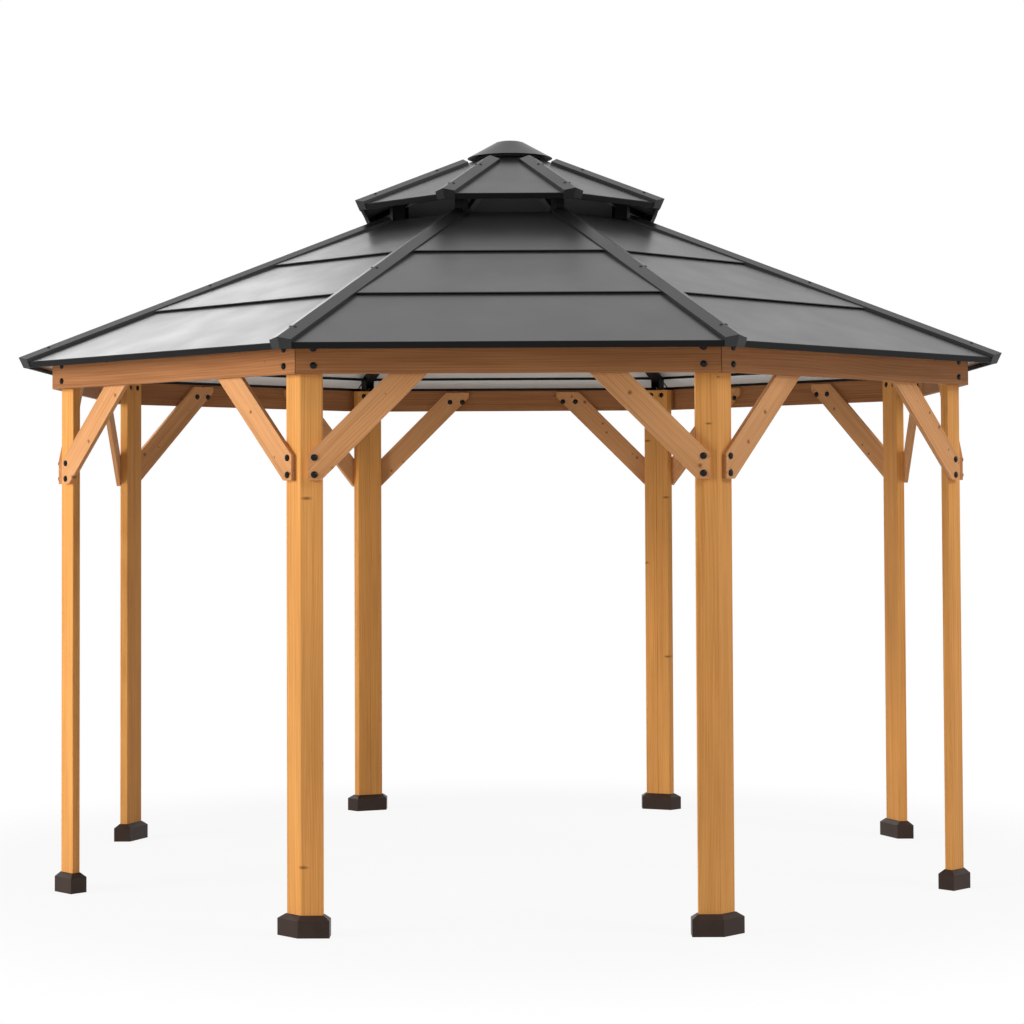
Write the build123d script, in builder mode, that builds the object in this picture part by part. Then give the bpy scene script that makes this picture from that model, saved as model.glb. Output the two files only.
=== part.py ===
from build123d import *
import os
from math import atan, cos, degrees, radians, sin, tan

# Octagonal garden gazebo: eight timber posts in moulded boots, header boards bolted
# outside them, knee braces, and a two-tier sheet steel roof with a vent between the tiers.
# Millimetres, +Z up, origin on the ground at the centre. Side 1 faces -Y and corner 1 is
# at its left end, seen from outside. The corners and sides run on anticlockwise from above.

# Plan
sides = 8
half_angle = 180 / sides
cos_half = cos(radians(half_angle))
sin_half = sin(radians(half_angle))
tan_half = tan(radians(half_angle))

# Posts: a five-sided section, two faces along the sides of the octagon
post_corner_radius = 2098
post_face = 85
post_side = 36
post_height = 2264
post_edge = 2
post_seam = 2
post_pocket_radius = 14
post_pocket_depth = 14
post_pocket_height = 2237
post_pocket_spacing = 58

# Moulded boots round the feet of the posts
boot_offset = 26
boot_height = 65
boot_collar_height = 83
boot_collar_offset = 3
boot_clearance = 0.3

# Boards, all of one thickness
board = 19
beam_bottom = 2157
beam_height = 121
beam_end_gap = 1.5
beam_edge_radius = 2
packing_edge = 8

# Knee braces, sawn square to the post and to the header at both ends
brace_end = 772
brace_width = 105
brace_bottom = 1748
brace_foot = 50
brace_top = 2258
brace_head_end = 240

# Lower roof, measured on the top of the sheets
roof_slope = 0.437
eave_corner_radius = 2271
eave_height = 2270
seam_apothems = (1590, 1085)
lower_top_apothem = 552
sheet = 3
seam_step = 11
seam_reach = 26
hip_gap = 4
seat_gap = 0.3

# Upper roof
upper_corner_radius = 748
upper_eave_height = 3014
upper_top_apothem = 75

# Steel frame under the sheets
rafter_width = 40
rafter_depth = 45
rafter_wall = 3
rafter_drop = 9
rafter_foot_radius = 2110
rafter_top_radius = 525
purlin_width = 12
purlin_depth = 8
rail_leg = 10
rail_width = 16
rail_end_gap = 26
purlin_apothems = (1948, 1605, 1100, 560)
bracket_plate = 3
bracket_length = 70
bracket_height = 66
bracket_inset = 52
stub_radius = 559
stub_length = 56
upper_rafter_foot_radius = 690
hub_apothem = 95
hub_height = 60
hub_drop = 2
hub_bite = 1
upper_rafter_width = 30
upper_rafter_depth = 25

# Trim
fascia_depth = 25
fascia_return = 14
fascia_mitre = 0.5
fascia_edge = 2.5
cover_half_width = 46
cover_rise = 25
cover_shoulder = 7
cover_foot_half_width = 42
cover_overrun = 60
cover_top_radius = 600
upper_cover_top_radius = 225
cone_base_radius = 198
cone_top_radius = 57
cone_base_height = 3262
cone_height = 79
cone_edge = 9
cone_rim = 6
cone_collar_radius = 150

# Worked out from the above
post_apothem = post_corner_radius * cos_half
beam_apothem = post_apothem + 2 * board
eave_apothem = eave_corner_radius * cos_half
upper_apothem = upper_corner_radius * cos_half
hip_slope = roof_slope * cos_half
hip_pitch = degrees(atan(hip_slope))
roof_pitch = degrees(atan(roof_slope))
sheet_upright = sheet / cos(radians(roof_pitch))
beam_top = beam_bottom + beam_height
roof_height = 4000


def radial(angle):
    """Unit vector at this angle in plan."""
    return Vector(cos(radians(angle)), sin(radians(angle)), 0)


def corner_angle(number):
    return -90 - half_angle + (number - 1) * 2 * half_angle


def side_angle(number):
    return -90 + (number - 1) * 2 * half_angle


def corner_plan(number, height=0):
    """Level plane with x pointing out to a corner."""
    return Plane(origin=(0, 0, height), x_dir=radial(corner_angle(number)), z_dir=(0, 0, 1))


def side_plan(number, height=0):
    """Level plane with x pointing out to the middle of a side."""
    return Plane(origin=(0, 0, height), x_dir=radial(side_angle(number)), z_dir=(0, 0, 1))


def side_front(number, apothem):
    """Upright plane along a side, x to the right and y up, seen from outside."""
    out = radial(side_angle(number))
    along = radial(side_angle(number) + 90)
    return Plane(origin=out * apothem, x_dir=along, z_dir=out)


def corner_front(number):
    """Upright plane through the centre, square to a corner, x along it and y up."""
    out = radial(corner_angle(number))
    return Plane(origin=(0, 0, 0), x_dir=radial(corner_angle(number) + 90), z_dir=out)


def side_section(number):
    """Upright plane square to a side, x outwards and y up."""
    out = radial(side_angle(number))
    return Plane(origin=(0, 0, 0), x_dir=out, z_dir=out.cross(Vector(0, 0, 1)))


def hip_section(number):
    """Upright plane through a corner, x outwards and y up."""
    out = radial(corner_angle(number))
    return Plane(origin=(0, 0, 0), x_dir=out, z_dir=out.cross(Vector(0, 0, 1)))


def hip_square(number, radius, height):
    """Plane square to a hip line, x level, y up off the roof, z uphill."""
    out = radial(corner_angle(number))
    uphill = out * -cos(radians(hip_pitch)) + Vector(0, 0, sin(radians(hip_pitch)))
    level = radial(corner_angle(number) + 90)
    return Plane(origin=out * radius + Vector(0, 0, height), x_dir=level * -1, z_dir=uphill)


def post_outline(offset):
    """Five corners of the post section, moved outwards by an offset, on a corner plan."""
    corner = post_corner_radius + offset / cos_half
    face = post_face + offset * (1 + tan_half)
    inner = inner_flat_radius() - offset
    end_x = corner - face * sin_half
    end_y = face * cos_half
    run = (end_x - inner) / cos_half
    return [
        (corner, 0),
        (end_x, end_y),
        (inner, end_y - run * sin_half),
        (inner, -end_y + run * sin_half),
        (end_x, -end_y),
    ]


def inner_flat_radius():
    """Distance from the centre to the flat inner face of a post."""
    return post_corner_radius - post_face * sin_half - post_side * cos_half


def eave_line(apothem):
    """Height of the top of the lower sheets at an apothem."""
    return eave_height + roof_slope * (eave_apothem - apothem)


def upper_eave_line(apothem):
    """Height of the top of the upper sheets at an apothem."""
    return upper_eave_height + roof_slope * (upper_apothem - apothem)


def wedge(reach, gap):
    """Plan of one eighth of the octagon, kept clear of both hips by a gap."""
    start = gap / sin_half
    return [
        (start, 0),
        (reach, (reach - start) * tan_half),
        (reach, -(reach - start) * tan_half),
    ]


def rafter_side(foot_radius, top_radius, eave, drop, depth):
    """Side of a rafter with upright ends, a drop below the hip line of an eave."""
    corner_radius, height = eave
    above = [
        (radius, height + hip_slope * (corner_radius - radius) - drop / cos(radians(hip_pitch)))
        for radius in (foot_radius, top_radius)
    ]
    upright = depth / cos(radians(hip_pitch))
    below = [(radius, level - upright) for radius, level in reversed(above)]
    return above + below


def save(part, name):
    part.label = name
    export_step(part, f"parts/{name}.step")


# Posts, with eased edges, a seam down the inner flat where the boards meet, and a pocket in it
# for each header bolt
for number in range(1, sides + 1):
    with BuildPart() as post:
        with BuildSketch(corner_plan(number)):
            with BuildLine():
                Polyline(*post_outline(0), close=True)
            make_face()
        extrude(amount=post_height)
        chamfer(post.edges().filter_by(Axis.Z), post_edge)
        with BuildSketch(corner_plan(number)):
            with BuildLine():
                Polyline(
                    (inner_flat_radius() + post_seam, 0),
                    (inner_flat_radius(), post_seam / 2),
                    (inner_flat_radius(), -post_seam / 2),
                    close=True,
                )
            make_face()
        extrude(amount=post_height, mode=Mode.SUBTRACT)
        for hand in (-1, 1):
            out = radial(corner_angle(number) + hand * half_angle)
            across = radial(corner_angle(number) + 90)
            start = radial(corner_angle(number)) * inner_flat_radius()
            centre = start + across * hand * post_pocket_spacing / 2 + Vector(0, 0, post_pocket_height)
            with BuildSketch(Plane(origin=centre - out * post_pocket_depth, z_dir=out)):
                Circle(post_pocket_radius)
            extrude(amount=2 * post_pocket_depth, mode=Mode.SUBTRACT)
    save(post.part, f"post_{number}")

# Boots: a hollow skirt and a sloped collar closed round the post
with BuildPart() as boots:
    for number in range(1, sides + 1):
        with BuildSketch(corner_plan(number)):
            with BuildLine():
                Polyline(*post_outline(boot_offset), close=True)
            make_face()
        extrude(amount=boot_height)
        with BuildSketch(corner_plan(number, boot_height)):
            with BuildLine():
                Polyline(*post_outline(boot_offset), close=True)
            make_face()
        with BuildSketch(corner_plan(number, boot_collar_height)):
            with BuildLine():
                Polyline(*post_outline(boot_collar_offset), close=True)
            make_face()
        loft()
    for number in range(1, sides + 1):
        with BuildSketch(corner_plan(number)):
            with BuildLine():
                Polyline(*post_outline(boot_clearance), close=True)
            make_face()
        extrude(amount=boot_collar_height, mode=Mode.SUBTRACT)
save(boots.part, "post_boots")

# Header boards, mitred where they meet in front of each post
for number in range(1, sides + 1):
    inner_half = (beam_apothem - board) * tan_half - beam_end_gap
    outer_half = beam_apothem * tan_half - beam_end_gap
    with BuildPart() as beam:
        with BuildSketch(side_plan(number, beam_bottom)):
            with BuildLine():
                Polyline(
                    (beam_apothem - board, inner_half),
                    (beam_apothem, outer_half),
                    (beam_apothem, -outer_half),
                    (beam_apothem - board, -inner_half),
                    close=True,
                )
            make_face()
        extrude(amount=beam_height)
        long_edges = beam.edges().sort_by(SortBy.LENGTH)[-4:]
        fillet(long_edges, beam_edge_radius)
    save(beam.part, f"header_beam_{number}")

# Packing blocks that fill the space between a post and the header over it
with BuildPart() as packing:
    for number in range(1, sides + 1):
        outer_end = post_apothem * tan_half - packing_edge
        inner_end = post_apothem * tan_half - post_face
        with BuildSketch(side_front(number, post_apothem)):
            for hand in (-1, 1):
                with Locations((hand * (outer_end + inner_end) / 2, (beam_bottom + post_height) / 2)):
                    Rectangle(outer_end - inner_end, post_height - beam_bottom)
        extrude(amount=board)
save(packing.part, "packing_blocks")

# Knee braces, two to a side
for number in range(1, sides + 1):
    run = brace_width * 2 ** 0.5
    lower_line = brace_end - brace_foot + brace_bottom
    upper_line = lower_line + run
    with BuildPart() as braces:
        with BuildSketch(side_front(number, post_apothem)):
            with BuildLine():
                Polyline(
                    (brace_end - brace_foot, brace_bottom),
                    (brace_end, brace_bottom),
                    (brace_end, upper_line - brace_end),
                    (upper_line - brace_top, brace_top),
                    (brace_head_end, brace_top),
                    (brace_head_end, lower_line - brace_head_end),
                    close=True,
                )
            make_face()
            mirror(about=Plane.YZ)
        extrude(amount=board)
    save(braces.part, f"knee_braces_{number}")

# Brackets on the post tops, two cheeks that hold a rafter
with BuildPart() as brackets:
    for number in range(1, sides + 1):
        middle = inner_flat_radius() + bracket_inset / 2
        with BuildSketch(corner_plan(number, post_height)):
            with Locations((middle, 0)):
                Rectangle(bracket_inset, 2 * bracket_inset)
        extrude(amount=bracket_plate)
        for hand in (-1, 1):
            with BuildSketch(corner_plan(number, post_height)):
                with Locations((middle, hand * (rafter_width + bracket_plate) / 2)):
                    Rectangle(bracket_length, bracket_plate)
            extrude(amount=bracket_height)
save(brackets.part, "post_brackets")

# Hip rafters, steel tubes from the brackets up to the vent
with BuildPart() as rafters:
    for number in range(1, sides + 1):
        for shrink, mode in ((0, Mode.ADD), (rafter_wall, Mode.SUBTRACT)):
            with BuildSketch(hip_section(number)):
                with BuildLine():
                    Polyline(
                        *rafter_side(
                            rafter_foot_radius,
                            rafter_top_radius,
                            (eave_corner_radius, eave_height),
                            rafter_drop + shrink,
                            rafter_depth - 2 * shrink,
                        ),
                        close=True,
                    )
                make_face()
            extrude(amount=rafter_width / 2 - shrink, both=True, mode=mode)
save(rafters.part, "hip_rafters")

# Purlins, a light angle along each side at the eave, the seams and the vent, and a rail of
# angle along the top of each header
with BuildPart() as purlins:
    for number in range(1, sides + 1):
        with BuildPart(mode=Mode.PRIVATE) as bay:
            with BuildSketch(side_section(number)):
                for apothem in purlin_apothems:
                    top = eave_line(apothem) - sheet_upright
                    rise = roof_slope * purlin_width
                    with BuildLine():
                        Polyline(
                            (apothem, top),
                            (apothem - purlin_width, top + rise),
                            (apothem - purlin_width, top + rise - sheet),
                            (apothem - sheet, top - sheet),
                            (apothem - sheet, top - purlin_depth),
                            (apothem, top - purlin_depth),
                            close=True,
                        )
                    make_face()
            extrude(amount=eave_corner_radius / 2, both=True)
            with BuildSketch(side_plan(number)):
                with BuildLine():
                    Polyline(*wedge(eave_corner_radius, rafter_width / 2), close=True)
                make_face()
            extrude(amount=roof_height, mode=Mode.INTERSECT)
        add(bay.part)
        with BuildSketch(side_section(number)):
            rail_face = beam_apothem - board
            with BuildLine():
                Polyline(
                    (rail_face - sheet, beam_top + sheet),
                    (rail_face + rail_width, beam_top + sheet),
                    (rail_face + rail_width, beam_top),
                    (rail_face, beam_top),
                    (rail_face, beam_top - rail_leg),
                    (rail_face - sheet, beam_top - rail_leg),
                    close=True,
                )
            make_face()
        extrude(amount=rail_face * tan_half - rail_end_gap, both=True)
save(purlins.part, "purlins")

# Lower roof: each facet is three lapped courses. The two upper ones lie on the one below with
# a raised lip, open underneath, and butt against the hip covers.
for number in range(1, sides + 1):
    outer = eave_apothem - sheet_upright - seat_gap
    under = outer - sheet * sin(radians(roof_pitch))
    with BuildPart() as panel:
        with BuildSketch(side_section(number)):
            with BuildLine():
                Polyline(
                    (outer, eave_line(outer)),
                    (lower_top_apothem, eave_line(lower_top_apothem)),
                    (lower_top_apothem, eave_line(lower_top_apothem) - sheet_upright),
                    (under, eave_line(under) - sheet_upright),
                    close=True,
                )
            make_face()
        extrude(amount=eave_corner_radius / 2, both=True)
        with BuildSketch(side_plan(number)):
            with BuildLine():
                Polyline(*wedge(eave_corner_radius, hip_gap), close=True)
            make_face()
        extrude(amount=roof_height, mode=Mode.INTERSECT)
        with BuildPart(mode=Mode.PRIVATE) as courses:
            with BuildSketch(side_section(number)):
                for lip, top in zip(seam_apothems, (seam_apothems[1], lower_top_apothem)):
                    lapped = lip - seam_reach
                    with BuildLine():
                        Polyline(
                            (lip, eave_line(lip) + seam_step),
                            (top, eave_line(top)),
                            (lapped, eave_line(lapped)),
                            (lapped, eave_line(lapped) + seam_step - sheet_upright),
                            (lip, eave_line(lip) + seam_step - sheet_upright),
                            close=True,
                        )
                    make_face()
            extrude(amount=eave_corner_radius / 2, both=True)
            with BuildSketch(side_plan(number)):
                with BuildLine():
                    Polyline(*wedge(eave_corner_radius, cover_half_width + seat_gap), close=True)
                make_face()
            extrude(amount=roof_height, mode=Mode.INTERSECT)
        add(courses.part)
    save(panel.part, f"roof_panel_{number}")


def fascia_strips(corner_radius, height):
    """Eave trim along every side, square to the sheet, with an eased fold at the top and a
    return at the bottom."""
    apothem = corner_radius * cos_half
    lean = fascia_depth * sin(radians(roof_pitch))
    bottom = height - fascia_depth * cos(radians(roof_pitch))
    inner = apothem - lean - sheet_upright + sheet * roof_slope
    with BuildPart() as strips:
        for number in range(1, sides + 1):
            with BuildPart(mode=Mode.PRIVATE) as strip:
                with BuildSketch(side_section(number)):
                    with BuildLine():
                        Polyline(
                            (apothem - fascia_edge, height),
                            (apothem - fascia_edge * roof_slope, height - fascia_edge),
                            (apothem - lean, bottom),
                            (apothem - lean - fascia_return, bottom),
                            (apothem - lean - fascia_return, bottom + sheet),
                            (inner, bottom + sheet),
                            (apothem - sheet_upright, height),
                            close=True,
                        )
                    make_face()
                extrude(amount=corner_radius / 2, both=True)
                with BuildSketch(side_plan(number)):
                    with BuildLine():
                        Polyline(*wedge(corner_radius, fascia_mitre), close=True)
                    make_face()
                extrude(amount=roof_height, mode=Mode.INTERSECT)
            add(strip.part)
    return strips.part


save(fascia_strips(eave_corner_radius, eave_height), "lower_fascia")


def cover_outline(grow):
    """Folded section of a hip cover: two sloping flats and a flange down to each sheet."""
    fall = roof_slope * sin_half * cos(radians(hip_pitch))
    foot = seat_gap - fall * (cover_half_width - sheet)
    shoulder = cover_shoulder + grow
    half = cover_half_width + grow
    return [(0, cover_rise + grow), (half, shoulder), (half, foot), (-half, foot), (-half, shoulder)]


def eave_bowl(number, corner_radius, height, offset):
    """Everything inside the planes that stand square to the roof's facets along an eave."""
    below = height - 2 * fascia_depth
    with BuildPart() as bowl:
        for level in (below, roof_height):
            apothem = corner_radius * cos_half + offset + roof_slope * (level - height)
            with BuildSketch(corner_plan(number, level)):
                RegularPolygon(apothem / cos_half, sides)
        loft()
    return bowl.part


def hip_covers(corner_radius, height, top_radius):
    """Raised covers over the hips. Each end is folded shut by two plates, mitred under the
    ridge and square to the facets, that lap over the fascia down to its bottom."""
    foot = corner_radius + cover_overrun
    foot_height = height - hip_slope * cover_overrun
    length = (foot - top_radius) / cos(radians(hip_pitch))
    fascia_bottom = height - fascia_depth * cos(radians(roof_pitch))
    with BuildPart() as covers:
        for number in range(1, sides + 1):
            inside = eave_bowl(number, corner_radius, height, seat_gap)
            outside = eave_bowl(number, corner_radius, height, seat_gap + sheet_upright)
            with BuildPart(mode=Mode.PRIVATE) as hollow:
                with BuildSketch(hip_square(number, foot, foot_height)):
                    with BuildLine():
                        Polyline(*cover_outline(-sheet), close=True)
                    make_face()
                extrude(amount=length)
                add(inside, mode=Mode.INTERSECT)
            with BuildPart(mode=Mode.PRIVATE) as plates:
                with BuildSketch(corner_front(number)):
                    with BuildLine():
                        Polyline(
                            (-cover_foot_half_width, fascia_bottom),
                            (cover_foot_half_width, fascia_bottom),
                            (cover_half_width, height),
                            (cover_half_width - sheet, height + sheet),
                            (sheet - cover_half_width, height + sheet),
                            (-cover_half_width, height),
                            close=True,
                        )
                    make_face()
                extrude(amount=foot)
                add(outside, mode=Mode.INTERSECT)
                add(inside, mode=Mode.SUBTRACT)
            with BuildPart(mode=Mode.PRIVATE) as cover:
                with BuildSketch(hip_square(number, foot, foot_height)):
                    with BuildLine():
                        Polyline(*cover_outline(0), close=True)
                    make_face()
                extrude(amount=length)
                add(outside, mode=Mode.INTERSECT)
                add(hollow.part, mode=Mode.SUBTRACT)
                add(plates.part)
            add(cover.part)
    return covers.part


save(hip_covers(eave_corner_radius, eave_height, cover_top_radius), "lower_hip_covers")

# Stub brackets, channels that lift the upper roof off the lower one
with BuildPart() as stubs:
    outer = stub_radius + stub_length / 2
    inner = stub_radius - stub_length / 2
    for number in range(1, sides + 1):
        for back, side, mode in ((0, 0, Mode.ADD), (sheet, sheet, Mode.SUBTRACT)):
            low = rafter_side(outer - back, inner - back, (eave_corner_radius, eave_height), rafter_drop, 0)
            high = rafter_side(
                outer - back,
                inner - back,
                (upper_corner_radius, upper_eave_height),
                rafter_drop + upper_rafter_depth,
                0,
            )
            with BuildSketch(hip_section(number)):
                with BuildLine():
                    Polyline(low[0], low[1], high[1], high[0], close=True)
                make_face()
            extrude(amount=rafter_width / 2 - side, both=True, mode=mode)
save(stubs.part, "vent_brackets")

# Frame of the upper roof: eight rafters let into a hub
with BuildPart() as upper_frame:
    hub_line = (upper_corner_radius, upper_eave_height)
    hub_top = rafter_side(hub_apothem, 0, hub_line, rafter_drop + hub_drop, 0)[0][1]
    with BuildSketch(side_plan(1, hub_top - hub_height)):
        RegularPolygon(hub_apothem / cos_half, sides)
    extrude(amount=hub_height)
    for number in range(1, sides + 1):
        with BuildSketch(hip_section(number)):
            with BuildLine():
                Polyline(
                    *rafter_side(
                        upper_rafter_foot_radius,
                        hub_apothem - hub_bite,
                        hub_line,
                        rafter_drop,
                        upper_rafter_depth,
                    ),
                    close=True,
                )
            make_face()
        extrude(amount=upper_rafter_width / 2, both=True)
save(upper_frame.part, "upper_frame")

# Upper roof, one course to a facet
with BuildPart() as upper_panels:
    for number in range(1, sides + 1):
        with BuildPart(mode=Mode.PRIVATE) as facet:
            with BuildSketch(side_section(number)):
                outer = upper_apothem - sheet_upright - seat_gap
                under = outer - sheet * sin(radians(roof_pitch))
                with BuildLine():
                    Polyline(
                        (outer, upper_eave_line(outer)),
                        (upper_top_apothem, upper_eave_line(upper_top_apothem)),
                        (upper_top_apothem, upper_eave_line(upper_top_apothem) - sheet_upright),
                        (under, upper_eave_line(under) - sheet_upright),
                        close=True,
                    )
                make_face()
            extrude(amount=upper_corner_radius / 2, both=True)
            with BuildSketch(side_plan(number)):
                with BuildLine():
                    Polyline(*wedge(upper_corner_radius, hip_gap), close=True)
                make_face()
            extrude(amount=roof_height, mode=Mode.INTERSECT)
        add(facet.part)
save(upper_panels.part, "upper_roof_panels")

save(fascia_strips(upper_corner_radius, upper_eave_height), "upper_fascia")
save(hip_covers(upper_corner_radius, upper_eave_height, upper_cover_top_radius), "upper_hip_covers")

# Cap over the tops of the hip covers: a hollow cone with a flat top and an eased shoulder. A
# collar inside it stands on the sheets.
with BuildPart() as cap:
    cone_top = cone_base_height + cone_height
    cone_lean = (cone_base_radius - cone_top_radius) / cone_height
    collar_seat = upper_eave_line((cone_collar_radius - sheet) * cos_half) + seat_gap
    inner_radius = cone_base_radius - cone_rim
    inner_lean = (inner_radius - cone_top_radius + sheet) / (cone_height - sheet)
    collar_inside = cone_collar_radius - sheet
    with BuildSketch(Plane.XZ):
        with BuildLine():
            Polyline(
                (0, cone_top),
                (cone_top_radius - cone_edge, cone_top),
                (cone_top_radius + cone_edge * cone_lean / 2, cone_top - cone_edge / 2),
                (cone_base_radius, cone_base_height),
                (inner_radius, cone_base_height),
                (cone_collar_radius, cone_base_height + (inner_radius - cone_collar_radius) / inner_lean),
                (cone_collar_radius, collar_seat),
                (collar_inside, collar_seat),
                (collar_inside, cone_base_height + (inner_radius - collar_inside) / inner_lean),
                (cone_top_radius - sheet, cone_top - sheet),
                (0, cone_top - sheet),
                close=True,
            )
        make_face()
    revolve(axis=Axis.Z)
save(cap.part, "cone_cap")
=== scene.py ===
import math

import bpy
from mathutils import Matrix, Vector


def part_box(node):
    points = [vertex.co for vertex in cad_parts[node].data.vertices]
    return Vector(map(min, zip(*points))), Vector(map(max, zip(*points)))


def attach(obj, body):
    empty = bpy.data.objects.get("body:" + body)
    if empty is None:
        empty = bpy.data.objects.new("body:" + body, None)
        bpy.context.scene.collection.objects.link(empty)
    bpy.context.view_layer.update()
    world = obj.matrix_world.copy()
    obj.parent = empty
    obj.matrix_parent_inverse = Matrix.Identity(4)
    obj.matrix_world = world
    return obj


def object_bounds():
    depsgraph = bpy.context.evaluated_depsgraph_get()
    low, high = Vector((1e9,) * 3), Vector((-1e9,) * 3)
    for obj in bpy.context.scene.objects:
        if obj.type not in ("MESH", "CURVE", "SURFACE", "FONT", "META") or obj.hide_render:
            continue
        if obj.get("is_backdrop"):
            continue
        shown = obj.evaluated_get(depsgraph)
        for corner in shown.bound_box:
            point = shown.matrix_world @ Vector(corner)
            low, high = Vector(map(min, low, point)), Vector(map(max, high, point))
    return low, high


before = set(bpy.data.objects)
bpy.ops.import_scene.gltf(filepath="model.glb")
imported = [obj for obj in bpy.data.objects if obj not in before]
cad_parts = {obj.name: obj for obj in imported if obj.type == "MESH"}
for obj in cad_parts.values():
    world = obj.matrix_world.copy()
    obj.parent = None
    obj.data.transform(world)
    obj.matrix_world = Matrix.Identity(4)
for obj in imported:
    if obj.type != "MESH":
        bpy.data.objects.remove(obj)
cad_low, cad_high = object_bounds()


# Posts. Each is a five-sided timber glued up from cedar boards, planed, with eased edges,
# and stained honey brown. It stands in a moulded boot, with its outer corner on the
# octagon's corner.

side_count = 8
side_turn = 2 * math.pi / side_count


def linear(hex_colour):
    """An sRGB hex colour as linear RGBA."""
    parts = [int(hex_colour[start:start + 2], 16) / 255 for start in (1, 3, 5)]
    return [part / 12.92 if part <= 0.04045 else ((part + 0.055) / 1.055) ** 2.4 for part in parts] + [1]


def add(tree, kind, inputs=None, **settings):
    """Adds a node. An input is a value or another node's output."""
    node = tree.nodes.new(kind)
    for name, value in settings.items():
        setattr(node, name, value)
    for name, value in (inputs or {}).items():
        if isinstance(value, bpy.types.NodeSocket):
            tree.links.new(value, node.inputs[name])
        else:
            node.inputs[name].default_value = value
    return node


def side_out(number):
    """Level unit vector out of the middle of a side."""
    angle = -math.pi / 2 + (number - 1) * side_turn
    return Vector((math.cos(angle), math.sin(angle), 0))


def corner_out(number):
    """Level unit vector out to a corner."""
    angle = -math.pi / 2 + (number - 1.5) * side_turn
    return Vector((math.cos(angle), math.sin(angle), 0))


def along_side(number):
    """Level unit vector along a side, to the right seen from outside."""
    return side_out(number).cross(Vector((0, 0, -1)))


def stained_cedar(name, stain, axes, seed, knots, mirrored_about=None):
    """Cedar planed and brushed with a translucent stain: fine growth lines drawn out along the
    board, broad bands where the stain soaks in unevenly, small knots, and a soft satin sheen.
    axes has the directions along the grain, across the board and through it as its rows.
    knots has how many cells a metre may hold a knot, a knot's radius along the grain, and how
    much wider it is across. mirrored_about has such rows for a pair of boards that mirror each
    other, and axes then counts from them."""
    # Growth lines and fibre are drawn wider than they are in cedar, where they are too fine to show
    line_width = 0.007
    band_width = 0.030
    fibre_width = 0.0025
    ring_width = 0.011
    ring_lean = 0.45
    ring_wander = 0.11
    soaks_per_metre = (1.6, 9, 9)
    brushed_depth = 0.0006
    pale, middle, dark, knot = (linear(shade) for shade in stain)
    knots_per_metre, knot_radius, knot_stretch = knots
    material = bpy.data.materials.new(name)
    material.use_nodes = True
    tree = material.node_tree
    place = add(tree, "ShaderNodeTexCoord").outputs["Object"]
    start = Vector((seed * 1.37, seed * 0.61, seed * 2.83))
    if mirrored_about is not None:
        turned = add(tree, "ShaderNodeMapping", {"Vector": place, "Rotation": mirrored_about.to_euler()})
        folded = add(tree, "ShaderNodeVectorMath", {0: turned.outputs[0]}, operation="ABSOLUTE")
        hand = add(tree, "ShaderNodeVectorMath", {0: turned.outputs[0]}, operation="SIGN")
        apart = {0: hand.outputs[0], 1: (1.9, 0.7, 0.3), 2: folded.outputs[0]}
        place = add(tree, "ShaderNodeVectorMath", apart, operation="MULTIPLY_ADD").outputs[0]
    grain = add(
        tree, "ShaderNodeMapping", {"Vector": place, "Rotation": axes.to_euler(), "Location": start}
    ).outputs[0]

    # Growth lines, bands and fibre, each noise drawn out along the board
    drawn_out = []
    for width, length, detail in ((line_width, 0.45, 3.0), (band_width, 1.1, 3.0), (fibre_width, 0.16, 2.0)):
        stretch = {"Vector": grain, "Scale": (1 / length, 1 / width, 1 / width)}
        stretched = add(tree, "ShaderNodeMapping", stretch).outputs[0]
        noise = add(tree, "ShaderNodeTexNoise", {"Vector": stretched, "Scale": 1.0, "Detail": detail})
        drawn_out.append(noise.outputs[0])
    lines, bands, fibre = drawn_out

    # Flat-sawn rings: faint long arches, bent by slow wander along the board
    slow = add(tree, "ShaderNodeMapping", {"Vector": grain, "Scale": (0.7, 3.0, 3.0)}).outputs[0]
    wander = add(tree, "ShaderNodeTexNoise", {"Vector": slow, "Scale": 1.0, "Detail": 1.0}).outputs[0]
    parts = add(tree, "ShaderNodeSeparateXYZ", {0: grain})
    leaning = {0: parts.outputs[2], 1: ring_lean, 2: parts.outputs[1]}
    across = add(tree, "ShaderNodeMath", leaning, operation="MULTIPLY_ADD").outputs[0]
    wandering = {0: wander, 1: ring_wander, 2: across}
    bent = add(tree, "ShaderNodeMath", wandering, operation="MULTIPLY_ADD").outputs[0]
    per_ring = 2 * math.pi / ring_width
    turns = add(tree, "ShaderNodeMath", {0: bent, 1: per_ring}, operation="MULTIPLY").outputs[0]
    wave = add(tree, "ShaderNodeMath", {0: turns}, operation="SINE").outputs[0]
    rings = add(tree, "ShaderNodeMapRange", {"Value": wave, "From Min": -1.0}).outputs[0]

    depth = lines
    for share, layer in ((0.35, bands), (0.10, rings), (0.20, fibre)):
        blend = {"Factor": share, "A": depth, "B": layer}
        depth = add(tree, "ShaderNodeMix", blend, data_type="FLOAT").outputs[0]
    tone = add(tree, "ShaderNodeValToRGB", {0: depth})
    ramp = tone.color_ramp
    ramp.elements[0].position = 0.32
    ramp.elements[0].color = pale
    ramp.elements[1].position = 0.72
    ramp.elements[1].color = dark
    ramp.elements.new(0.51).color = middle

    # Slow change of tone along the board
    soak_place = add(tree, "ShaderNodeMapping", {"Vector": grain, "Scale": soaks_per_metre}).outputs[0]
    soak = add(tree, "ShaderNodeTexNoise", {"Vector": soak_place, "Scale": 1.0, "Detail": 2.0}).outputs[0]
    soak = add(
        tree,
        "ShaderNodeMapRange",
        {"Value": soak, "From Min": 0.3, "From Max": 0.7, "To Min": 0.90, "To Max": 1.08},
    ).outputs[0]
    soaked = add(
        tree, "ShaderNodeVectorMath", {0: tone.outputs[0], "Scale": soak}, operation="SCALE"
    ).outputs[0]

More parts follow.
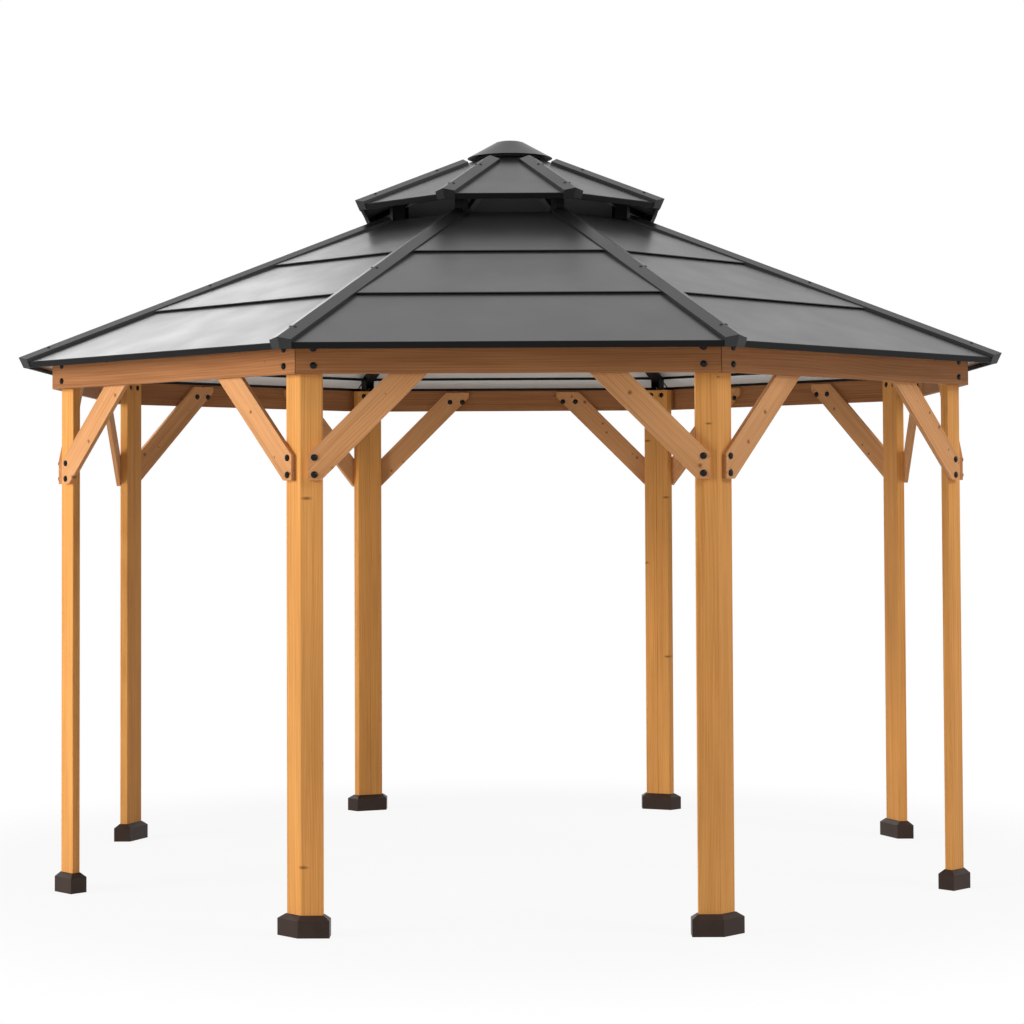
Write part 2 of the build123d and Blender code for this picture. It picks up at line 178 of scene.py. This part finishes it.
    # Knots: some cells hold one, dark at the heart with a soft edge
    knot_place = add(
        tree, "ShaderNodeMapping", {"Vector": grain, "Scale": (1.0, 1 / knot_stretch, 1.0)}
    ).outputs[0]
    cell = add(
        tree,
        "ShaderNodeTexVoronoi",
        {"Vector": knot_place, "Scale": knots_per_metre, "Randomness": 1.0},
        voronoi_dimensions="2D",
    )
    chance = add(
        tree,
        "ShaderNodeMapRange",
        {"Value": cell.outputs["Color"], "From Min": 0.35, "From Max": 0.8, "To Min": 0.0, "To Max": 1.0},
    ).outputs[0]
    size = add(tree, "ShaderNodeMath", {0: chance, 1: knot_radius * knots_per_metre}, operation="MULTIPLY")
    knot_mask = add(
        tree,
        "ShaderNodeMapRange",
        {"Value": cell.outputs["Distance"], "From Min": size.outputs[0], "From Max": 0.0, "To Max": 0.9},
        interpolation_type="SMOOTHSTEP",
    ).outputs[0]
    colour = add(tree, "ShaderNodeMix", {"Factor": knot_mask, "A": soaked, "B": knot}, data_type="RGBA")
    shader = tree.nodes["Principled BSDF"]
    tree.links.new(colour.outputs["Result"], shader.inputs["Base Color"])
    gloss = add(
        tree,
        "ShaderNodeMapRange",
        {"Value": depth, "From Min": 0.3, "From Max": 0.7, "To Min": 0.62, "To Max": 0.50},
    ).outputs[0]
    tree.links.new(gloss, shader.inputs["Roughness"])
    shader.inputs["Specular IOR Level"].default_value = 0.25
    raised = add(tree, "ShaderNodeBump", {"Height": depth, "Strength": 0.25, "Distance": brushed_depth})
    tree.links.new(raised.outputs[0], shader.inputs["Normal"])
    return material


def finish_node(name, material):
    """Gives a carried-over CAD node its finish."""
    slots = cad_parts[name].material_slots
    for slot in slots:
        slot.material = material


def board_axes(along, through):
    """Rows along the grain, across the board and through it."""
    return Matrix((along, through.cross(along), through))


up = Vector((0, 0, 1))
honey_stain = ("#EBAB62", "#DF9C54", "#CA8340", "#7E4620")
honey_knots = (3.6, 0.010, 2.8)
for number in range(1, side_count + 1):
    post_axes = board_axes(up, corner_out(number))
    honey_cedar = stained_cedar(f"honey_stained_cedar_{number}", honey_stain, post_axes, number, honey_knots)
    finish_node(f"post_{number}", honey_cedar)


# Boots. A moulded boot of dark brown plastic goes round the foot of each post: an upright
# skirt and a sloped collar that sheds the rain. The mould leaves a fine matt texture.

def moulded_plastic(name, colour):
    """Polypropylene from a spark-eroded mould: even colour, fine texture, dull sheen."""
    # The mould's texture is drawn coarser than it is, as the real one is too fine to show
    texture_size = 0.004
    texture_depth = 0.0005
    clouds_per_metre = 14.0
    material = bpy.data.materials.new(name)
    material.use_nodes = True
    tree = material.node_tree
    shader = tree.nodes["Principled BSDF"]
    place = add(tree, "ShaderNodeTexCoord").outputs["Object"]
    fine = add(tree, "ShaderNodeTexNoise", {"Vector": place, "Scale": 1 / texture_size, "Detail": 2.0})
    cloud = add(tree, "ShaderNodeTexNoise", {"Vector": place, "Scale": clouds_per_metre, "Detail": 3.0})
    shade = add(
        tree,
        "ShaderNodeMapRange",
        {"Value": cloud.outputs[0], "From Min": 0.3, "From Max": 0.7, "To Min": 0.88, "To Max": 1.14},
    )
    base = add(
        tree,
        "ShaderNodeVectorMath",
        {0: linear(colour)[:3], "Scale": shade.outputs[0]},
        operation="SCALE",
    )
    tree.links.new(base.outputs[0], shader.inputs["Base Color"])
    shader.inputs["Roughness"].default_value = 0.45
    shader.inputs["Specular IOR Level"].default_value = 0.2
    textured = {"Height": fine.outputs[0], "Strength": 0.2, "Distance": texture_depth}
    raised = add(tree, "ShaderNodeBump", textured)
    tree.links.new(raised.outputs[0], shader.inputs["Normal"])
    return material


finish_node("post_boots", moulded_plastic("dark_brown_moulded_plastic", "#382A23"))


# Headers. A cedar board along each side, bolted outside the posts and mitred at the corners,
# with packing between board and post. They have a redder stain than the posts.

red_stain = ("#AE7A50", "#9E6940", "#82512A", "#4C2915")
red_knots = (5.0, 0.007, 1.3)
for number in range(1, side_count + 1):
    header_axes = board_axes(along_side(number), side_out(number))
    red_cedar = stained_cedar(f"red_stained_cedar_{number}", red_stain, header_axes, 10 + number, red_knots)
    finish_node(f"header_beam_{number}", red_cedar)
packing_axes = board_axes(up, side_out(1))
finish_node("packing_blocks", stained_cedar("red_stained_packing", red_stain, packing_axes, 20, red_knots))


# Knee braces. Two boards to a side run at 45 degrees from post to header, sawn plumb and
# level at both ends. They have a tan stain and more small knots than the posts.

tan_stain = ("#DFA876", "#D39763", "#B87A48", "#6B3A1E")
tan_knots = (10.0, 0.013, 1.1)
brace_axes = board_axes(Vector((-1, 0, 1)).normalized(), Vector((0, 1, 0)))
for number in range(1, side_count + 1):
    pair_axes = Matrix((side_out(number).cross(up), side_out(number), up))
    tan_cedar = stained_cedar(
        f"tan_stained_cedar_{number}", tan_stain, brace_axes, 30 + number, tan_knots, pair_axes
    )
    finish_node(f"knee_braces_{number}", tan_cedar)


# Bolts. Carriage bolts with low domed heads, blackened, each on a flat washer: through the
# headers' ends, the braces' feet and heads, and in two pockets on the inside of each post top.

def blackened_steel(name, colour, roughness, gleam):
    """Steel with a black oxide or powder finish: near black, with a soft broad gleam."""
    clouds_per_metre = 60.0
    roughness_spread = 0.08
    material = bpy.data.materials.new(name)
    material.use_nodes = True
    tree = material.node_tree
    shader = tree.nodes["Principled BSDF"]
    place = add(tree, "ShaderNodeTexCoord").outputs["Object"]
    cloud = add(tree, "ShaderNodeTexNoise", {"Vector": place, "Scale": clouds_per_metre, "Detail": 3.0})
    rubbed = add(
        tree,
        "ShaderNodeMapRange",
        {
            "Value": cloud.outputs[0],
            "From Min": 0.3,
            "From Max": 0.7,
            "To Min": roughness - roughness_spread,
            "To Max": roughness + roughness_spread,
        },
    )
    shade = add(
        tree,
        "ShaderNodeMapRange",
        {"Value": cloud.outputs[0], "From Min": 0.3, "From Max": 0.7, "To Min": 0.8, "To Max": 1.25},
    )
    base = add(
        tree,
        "ShaderNodeVectorMath",
        {0: linear(colour)[:3], "Scale": shade.outputs[0]},
        operation="SCALE",
    )
    tree.links.new(base.outputs[0], shader.inputs["Base Color"])
    tree.links.new(rubbed.outputs[0], shader.inputs["Roughness"])
    shader.inputs["Specular IOR Level"].default_value = gleam
    return material


def points_mesh(name, places):
    """A mesh of loose points, each with the way that its fastener faces."""
    mesh = bpy.data.meshes.new(name)
    mesh.from_pydata([place for place, facing in places], [], [])
    facings = mesh.attributes.new("facing", "FLOAT_VECTOR", "POINT")
    for index, (place, facing) in enumerate(places):
        facings.data[index].vector = facing
    return mesh


def fastener_tree(name):
    """A domed head on a round washer, on every point, turned to the way that it faces."""
    tree = bpy.data.node_groups.new(name, "GeometryNodeTree")
    tree.interface.new_socket("Points", in_out="INPUT", socket_type="NodeSocketGeometry")
    tree.interface.new_socket("Heads", in_out="OUTPUT", socket_type="NodeSocketGeometry")
    for size in ("Head radius", "Head height", "Washer radius", "Washer thickness"):
        tree.interface.new_socket(size, in_out="INPUT", socket_type="NodeSocketFloat")
    tree.interface.new_socket("Finish", in_out="INPUT", socket_type="NodeSocketMaterial")
    sizes = add(tree, "NodeGroupInput").outputs
    ball = add(tree, "GeometryNodeMeshUVSphere", {"Segments": 16, "Rings": 8, "Radius": 1.0})
    flat = add(
        tree,
        "ShaderNodeCombineXYZ",
        {"X": sizes["Head radius"], "Y": sizes["Head radius"], "Z": sizes["Head height"]},
    )
    lift = add(tree, "ShaderNodeCombineXYZ", {"Z": sizes["Washer thickness"]})
    head = add(
        tree,
        "GeometryNodeTransform",
        {"Geometry": ball.outputs["Mesh"], "Scale": flat.outputs[0], "Translation": lift.outputs[0]},
    )
    disc = add(
        tree,
        "GeometryNodeMeshCylinder",
        {"Vertices": 24, "Radius": sizes["Washer radius"], "Depth": sizes["Washer thickness"]},
    )
    half = add(tree, "ShaderNodeMath", {0: sizes["Washer thickness"], 1: 0.5}, operation="MULTIPLY")
    rise = add(tree, "ShaderNodeCombineXYZ", {"Z": half.outputs[0]})
    washer = add(
        tree, "GeometryNodeTransform", {"Geometry": disc.outputs["Mesh"], "Translation": rise.outputs[0]}
    )
    both = add(tree, "GeometryNodeJoinGeometry")
    tree.links.new(head.outputs[0], both.inputs[0])
    tree.links.new(washer.outputs[0], both.inputs[0])
    facing = add(tree, "GeometryNodeInputNamedAttribute", {"Name": "facing"}, data_type="FLOAT_VECTOR")
    turn = add(tree, "FunctionNodeAlignRotationToVector", {"Vector": facing.outputs[0]}, axis="Z")
    copies = add(
        tree,
        "GeometryNodeInstanceOnPoints",
        {"Points": sizes["Points"], "Instance": both.outputs[0], "Rotation": turn.outputs[0]},
    )
    real = add(tree, "GeometryNodeRealizeInstances", {0: copies.outputs[0]})
    done = add(tree, "GeometryNodeSetMaterial", {"Geometry": real.outputs[0], "Material": sizes["Finish"]})
    add(tree, "NodeGroupOutput", {0: done.outputs[0]})
    return tree


def made_by_nodes(name, mesh, tree, sizes, material):
    """Runs a tree on a mesh with the sizes given by name, and returns the plain mesh as an object."""
    source = bpy.data.objects.new(name, mesh)
    bpy.context.scene.collection.objects.link(source)
    modifier = source.modifiers.new("nodes", "NODES")
    modifier.node_group = tree
    for socket in tree.interface.items_tree:
        if socket.in_out == "INPUT" and socket.name in sizes:
            modifier[socket.identifier] = sizes[socket.name]
        if socket.in_out == "INPUT" and socket.name == "Finish":
            modifier[socket.identifier] = material
    depsgraph = bpy.context.evaluated_depsgraph_get()
    plain = bpy.data.meshes.new_from_object(source.evaluated_get(depsgraph))
    source.modifiers.clear()
    source.data = plain
    return source


header_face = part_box("header_beam_5")[1].y
brace_outer_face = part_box("knee_braces_5")[1].y
brace_inner_face = -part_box("knee_braces_1")[1].y
post_inner_radius = 2.0322
header_bolt_lateral = 0.749
header_bolt_heights = (2.189, 2.2546)
brace_foot_lateral = 0.747
brace_foot_heights = (1.770, 1.836)
brace_head_laterals = (0.342, 0.274)
brace_head_height = 2.206
pocket_spacing = 0.058
pocket_height = 2.237
pocket_depth = 0.014
bolt_sizes = {
    "Head radius": 0.0110,
    "Head height": 0.0055,
    "Washer radius": 0.0132,
    "Washer thickness": 0.0018,
}
black_oxide = blackened_steel("black_oxide_steel", "#070708", roughness=0.27, gleam=0.22)
domed_heads = fastener_tree("domed_heads_on_washers")


def bolts_on_sides(laterals, heights, apothem, facing_out):
    """Places on every side at these distances from its middle, on both hands."""
    places = []
    for number in range(1, side_count + 1):
        for hand in (-1, 1):
            for lateral, height in zip(laterals, heights):
                place = side_out(number) * apothem + along_side(number) * hand * lateral + up * height
                places.append((place, side_out(number) * facing_out))
    return places


def post_top_bolts():
    """Places at the bottoms of the two pockets in each post top, drilled square to the two sides."""
    places = []
    for number in range(1, side_count + 1):
        across = up.cross(corner_out(number))
        for hand, out in ((-1, side_out(number - 1)), (1, side_out(number))):
            on_flat = corner_out(number) * post_inner_radius + across * hand * pocket_spacing / 2
            places.append((on_flat + up * pocket_height + out * pocket_depth, -out))
    return places


pocket_bolt_sizes = {**bolt_sizes, "Head height": 0.007, "Washer radius": 0.0136, "Washer thickness": 0.008}
bolt_sets = {
    "header_bolts": bolts_on_sides((header_bolt_lateral,) * 2, header_bolt_heights, header_face, 1),
    "brace_foot_bolts": bolts_on_sides((brace_foot_lateral,) * 2, brace_foot_heights, brace_outer_face, 1),
    "brace_head_bolts": bolts_on_sides(brace_head_laterals, (brace_head_height,) * 2, brace_inner_face, -1),
    "post_top_bolts": post_top_bolts(),
}
for name, places in bolt_sets.items():
    sizes = pocket_bolt_sizes if name == "post_top_bolts" else bolt_sizes
    bolts = made_by_nodes(name, points_mesh(name, places), domed_heads, sizes, black_oxide)
    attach(bolts, "root")


# Steel frame. Brackets on the post tops carry eight steel hip rafters, with light purlins
# under the sheets and brackets in the vent. All of it is powder-coated black.

black_powder_coat = blackened_steel("black_powder_coat", "#0F0F10", roughness=0.5, gleam=0.15)
for name in ("post_brackets", "hip_rafters", "purlins", "vent_brackets", "upper_frame"):
    finish_node(name, black_powder_coat)


# Roof sheets. Each lower facet is three lapped courses of steel sheet, baked with charcoal
# enamel on top and a pale grey backing coat underneath. The upper facets are charcoal on top,
# and underneath they are painted near black as shade.

def baked_enamel(name, colour, roughness, gloss, under_colour, under_roughness):
    """Coil-coated steel sheet: a thin polyester enamel with faint orange peel and the slight
    waves of thin sheet, so that its reflections are soft and a little uneven. Underneath it is
    duller and takes under_colour, which is a pale backing coat on the lower sheets and painted
    shade, near black, on the upper ones."""
    # The orange peel is drawn coarser than it is, as the real one is too fine to show
    wave_length = 0.35
    wave_depth = 0.0015
    peel_size = 0.006
    peel_depth = 0.0002
    dust_per_metre = 5.0
    roughness_spread = 0.03
    material = bpy.data.materials.new(name)
    material.use_nodes = True
    tree = material.node_tree
    shader = tree.nodes["Principled BSDF"]
    coordinates = add(tree, "ShaderNodeTexCoord").outputs
    place = coordinates["Object"]
    waves = add(tree, "ShaderNodeTexNoise", {"Vector": place, "Scale": 1 / wave_length, "Detail": 1.0})
    peel = add(tree, "ShaderNodeTexNoise", {"Vector": place, "Scale": 1 / peel_size, "Detail": 2.0})
    dust = add(tree, "ShaderNodeTexNoise", {"Vector": place, "Scale": dust_per_metre, "Detail": 5.0})
    shade = add(
        tree,
        "ShaderNodeMapRange",
        {"Value": dust.outputs[0], "From Min": 0.3, "From Max": 0.7, "To Min": 0.93, "To Max": 1.07},
    )
    base = add(
        tree,
        "ShaderNodeVectorMath",
        {0: linear(colour)[:3], "Scale": shade.outputs[0]},
        operation="SCALE",
    ).outputs[0]
    facing = add(tree, "ShaderNodeSeparateXYZ", {0: coordinates["Normal"]}).outputs[2]
    below = add(tree, "ShaderNodeMath", {0: facing, 1: -0.5}, operation="LESS_THAN").outputs[0]
    two_sided = {"Factor": below, "A": base, "B": linear(under_colour)}
    base = add(tree, "ShaderNodeMix", two_sided, data_type="RGBA").outputs["Result"]
    tree.links.new(base, shader.inputs["Base Color"])
    rubbed = add(
        tree,
        "ShaderNodeMapRange",
        {
            "Value": dust.outputs[0],
            "From Min": 0.3,
            "From Max": 0.7,
            "To Min": roughness - roughness_spread,
            "To Max": roughness + roughness_spread,
        },
    )
    two_sided = {"Factor": below, "A": rubbed.outputs[0], "B": under_roughness}
    dull_below = add(tree, "ShaderNodeMix", two_sided, data_type="FLOAT")
    tree.links.new(dull_below.outputs["Result"], shader.inputs["Roughness"])
    shader.inputs["Specular IOR Level"].default_value = gloss
    wavy = {"Height": waves.outputs[0], "Strength": 0.08, "Distance": wave_depth}
    gentle = add(tree, "ShaderNodeBump", wavy)
    fine = add(
        tree,
        "ShaderNodeBump",
        {"Height": peel.outputs[0], "Strength": 0.08, "Distance": peel_depth, "Normal": gentle.outputs[0]},
    )
    tree.links.new(fine.outputs[0], shader.inputs["Normal"])
    return material


charcoal_sheet = baked_enamel(
    "charcoal_baked_enamel",
    "#2B2B2C",
    roughness=0.32,
    gloss=0.62,
    under_colour="#F2F0EC",
    under_roughness=0.42,
)
for number in range(1, side_count + 1):
    finish_node(f"roof_panel_{number}", charcoal_sheet)
upper_sheet = baked_enamel(
    "charcoal_baked_enamel_painted_shade_below",
    "#2F2F30",
    roughness=0.34,
    gloss=0.6,
    # The near-black underside is painted shade, standing for the dark inside of the vent
    under_colour="#0E0E0F",
    under_roughness=0.9,
)
finish_node("upper_roof_panels", upper_sheet)


# Roof trim. Folded covers over the hips, strips along the eaves and the cap are coated steel
# as well, in a darker charcoal. The eave strips are darker still, and matt.

dark_trim = baked_enamel(
    "dark_charcoal_baked_enamel",
    "#1C1D1E",
    roughness=0.32,
    gloss=0.42,
    under_colour="#1C1D1E",
    under_roughness=0.5,
)
for name in ("lower_hip_covers", "upper_hip_covers", "cone_cap"):
    finish_node(name, dark_trim)
eave_trim = baked_enamel(
    "matt_charcoal_baked_enamel",
    "#141415",
    roughness=0.50,
    gloss=0.12,
    under_colour="#141415",
    under_roughness=0.6,
)
for name in ("lower_fascia", "upper_fascia"):
    finish_node(name, eave_trim)


# Roof screws. Self-drilling screws with flat domed heads and washers hold the hip covers down,
# in pairs on the two flanks near the ridge. Their heads have the covers' colour.

hip_fall = 0.4037
cover_rise = 0.025
cover_shoulder = 0.007
cover_half_width = 0.046
cover_drop = cover_rise - cover_shoulder
cover_flank = math.atan2(cover_drop, cover_half_width)
screw_lateral = 0.011
screw_sizes = {
    "Head radius": 0.0055,
    "Head height": 0.0030,
    "Washer radius": 0.0075,
    "Washer thickness": 0.0012,
}


def cover_screws(eave_radius, eave_height, radii):
    """Places on both flanks of every hip cover, at these distances from the gazebo's middle."""
    slope = math.atan(hip_fall)
    rise = cover_rise - cover_drop * screw_lateral / cover_half_width
    places = []
    for number in range(1, side_count + 1):
        across = up.cross(corner_out(number))
        square = corner_out(number) * math.sin(slope) + up * math.cos(slope)
        for radius in radii:
            for hand in (-1, 1):
                height = eave_height + hip_fall * (eave_radius - radius)
                on_hip = corner_out(number) * radius + up * height
                facing = square * math.cos(cover_flank) + across * hand * math.sin(cover_flank)
                places.append((on_hip + across * hand * screw_lateral + square * rise, facing))
    return places


screw_places = cover_screws(eave_radius=2.271, eave_height=2.270, radii=(2.15, 1.434))
screw_places += cover_screws(eave_radius=0.748, eave_height=3.014, radii=(0.66, 0.36))
screw_points = points_mesh("roof_screws", screw_places)
screws = made_by_nodes("roof_screws", screw_points, domed_heads, screw_sizes, dark_trim)
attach(screws, "root")


# Floor. A plain pale matt floor, which keeps a light shadow near the gazebo and fades to
# white some metres out, so that it meets the background without a line.

def pale_floor(name, colour, shadow_share, fade_start, fade_end):
    """A matt floor that the camera sees as nearly white, with only a share of its shadow."""
    material = bpy.data.materials.new(name)
    material.use_nodes = True
    tree = material.node_tree
    tree.nodes.clear()
    matt = add(tree, "ShaderNodeBsdfDiffuse", {"Color": linear(colour)})
    white = add(tree, "ShaderNodeEmission", {"Color": (1, 1, 1, 1), "Strength": 1.0})
    place = add(tree, "ShaderNodeTexCoord").outputs["Object"]
    distance = add(tree, "ShaderNodeVectorMath", {0: place}, operation="LENGTH").outputs["Value"]
    fade = {
        "Value": distance,
        "From Min": fade_start,
        "From Max": fade_end,
        "To Min": 1 - shadow_share,
        "To Max": 1.0,
    }
    whiteness = add(tree, "ShaderNodeMapRange", fade, interpolation_type="SMOOTHSTEP").outputs[0]
    path = add(tree, "ShaderNodeLightPath").outputs
    seen = add(
        tree, "ShaderNodeMath", {0: path["Is Camera Ray"], 1: path["Is Glossy Ray"]}, operation="MAXIMUM"
    )
    seen = add(
        tree, "ShaderNodeMath", {0: seen.outputs[0], 1: path["Is Transmission Ray"]}, operation="MAXIMUM"
    )
    share = add(tree, "ShaderNodeMath", {0: seen.outputs[0], 1: whiteness}, operation="MULTIPLY")
    mixed = add(
        tree, "ShaderNodeMixShader", {0: share.outputs[0], 1: matt.outputs[0], 2: white.outputs[0]}
    )
    add(tree, "ShaderNodeOutputMaterial", {"Surface": mixed.outputs[0]})
    return material


floor_half = 60
floor_drop = 0.001
floor_mesh = bpy.data.meshes.new("floor")
corners = [(x * floor_half, y * floor_half, -floor_drop) for x, y in ((-1, -1), (1, -1), (1, 1), (-1, 1))]
floor_mesh.from_pydata(corners, [], [(0, 1, 2, 3)])
floor = bpy.data.objects.new("floor", floor_mesh)
bpy.context.scene.collection.objects.link(floor)
matt_floor = pale_floor("pale_matt_floor", "#D2D0CC", shadow_share=0.09, fade_start=2.2, fade_end=3.6)
floor_mesh.materials.append(matt_floor)
floor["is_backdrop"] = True


# Light. A soft even light all round, a lamp low on the left, a high and a low one on the right,
# and one behind on the left that gives the roof its sheen.

def soft_lamp(name, place, target, size, power, sheen):
    """A square area lamp aimed at a point. One without sheen isn't mirrored in the glossy roof."""
    lamp = bpy.data.lights.new(name, "AREA")
    lamp.shape = "SQUARE"
    lamp.size = size
    lamp.energy = power
    lamp_object = bpy.data.objects.new(name, lamp)
    lamp_object.location = place
    lamp_object.rotation_euler = (Vector(target) - Vector(place)).to_track_quat("-Z", "Y").to_euler()
    lamp_object.visible_camera = False
    lamp_object.visible_glossy = sheen
    bpy.context.scene.collection.objects.link(lamp_object)


soft_lamp("left_lamp", (-10, -5, 3.4), (0, 0, 1.4), size=5, power=1000, sheen=False)
soft_lamp("high_right_lamp", (9, -6, 9), (0, 0, 1.2), size=4, power=550, sheen=True)
soft_lamp("low_right_lamp", (10, -4, 2.2), (0, 0, 1.4), size=3, power=150, sheen=False)
soft_lamp("back_lamp", (-6, 11, 7), (0, 0, 2.5), size=6, power=240, sheen=True)

light_around = 0.18
white_behind = 1.0
world = bpy.data.worlds.new("soft_sky")
bpy.context.scene.world = world
world.use_nodes = True
sky = world.node_tree
sky.nodes.clear()
around = add(sky, "ShaderNodeBackground", {"Color": (1, 1, 1, 1), "Strength": light_around})
behind = add(sky, "ShaderNodeBackground", {"Color": (1, 1, 1, 1), "Strength": white_behind})
path = add(sky, "ShaderNodeLightPath").outputs
seen = add(sky, "ShaderNodeMath", {0: path["Is Camera Ray"], 1: path["Is Glossy Ray"]}, operation="MAXIMUM")
seen = add(sky, "ShaderNodeMath", {0: seen.outputs[0], 1: path["Is Transmission Ray"]}, operation="MAXIMUM")
mixed = add(sky, "ShaderNodeMixShader", {0: seen.outputs[0], 1: around.outputs[0], 2: behind.outputs[0]})
add(sky, "ShaderNodeOutputWorld", {"Surface": mixed.outputs[0]})
bpy.context.scene.view_settings.view_transform = "Standard"


# Camera. A long lens at eye height, nearly square to side 1, with its frame shifted a little
# down. It stands 11 m from the middle of the gazebo.

picture_width = 1024
focal_pixels = 2415.5
shift_pixels = -85.6
yaw = math.radians(0.253)
pitch = math.radians(90 + 1.772)
roll = math.radians(-0.255)
camera = bpy.data.objects.new("camera", bpy.data.cameras.new("camera"))
bpy.context.scene.collection.objects.link(camera)
camera.data.sensor_width = 36
camera.data.lens = focal_pixels / picture_width * camera.data.sensor_width
camera.data.shift_y = shift_pixels / picture_width
camera.location = (0.054, -11.232, 1.665)
level_view = Matrix.Rotation(yaw, 4, "Z") @ Matrix.Rotation(pitch, 4, "X")
rolled_view = level_view @ Matrix.Rotation(roll, 4, "Z")
camera.rotation_euler = rolled_view.to_euler()
bpy.context.scene.camera = camera

visual_low, visual_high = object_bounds()
sizes = {"cad": [list(cad_low), list(cad_high)], "visual": [list(visual_low), list(visual_high)]}
